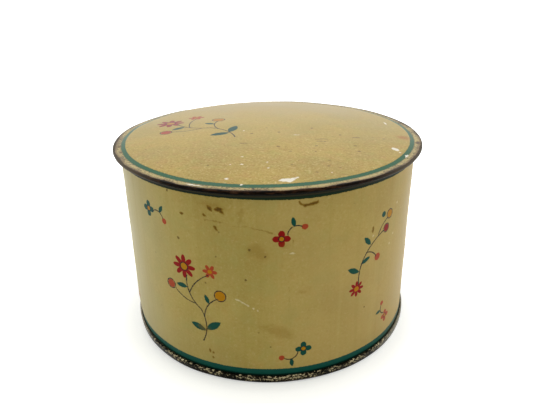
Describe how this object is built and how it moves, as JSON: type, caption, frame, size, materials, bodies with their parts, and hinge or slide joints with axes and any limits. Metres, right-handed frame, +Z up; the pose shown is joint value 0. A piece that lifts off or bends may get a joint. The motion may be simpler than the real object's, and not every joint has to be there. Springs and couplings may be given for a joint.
{
  "type": "round tin box",
  "caption": "Round printed tin box with a lift-off plug lid, a rolled lid rim and a seamed base, for bobbins and other small notions.",
  "frame": {"origin": "centre of the foot, on the surface that the box stands on", "axes": "+Z up along the axis of the box, -Y to the front of the picture, side seam towards +Y"},
  "size_m": [0.1262, 0.1262, 0.0813],
  "materials": {
    "printed_tinplate": "aged varnished print on tinplate",
    "bare_tinplate": "dull aged tin"
  },
  "bodies": {
    "box": {"body_wall": "printed_tinplate", "base_end": "bare_tinplate"},
    "lid": {"lid_top": "printed_tinplate", "lid_plug_ring": "bare_tinplate"}
  },
  "joints": [
    {"name": "lid_lift", "type": "slide", "parent": "box", "child": "lid", "axis": [0, 0, 1], "range_m": [0, 0.1]}
  ]
}
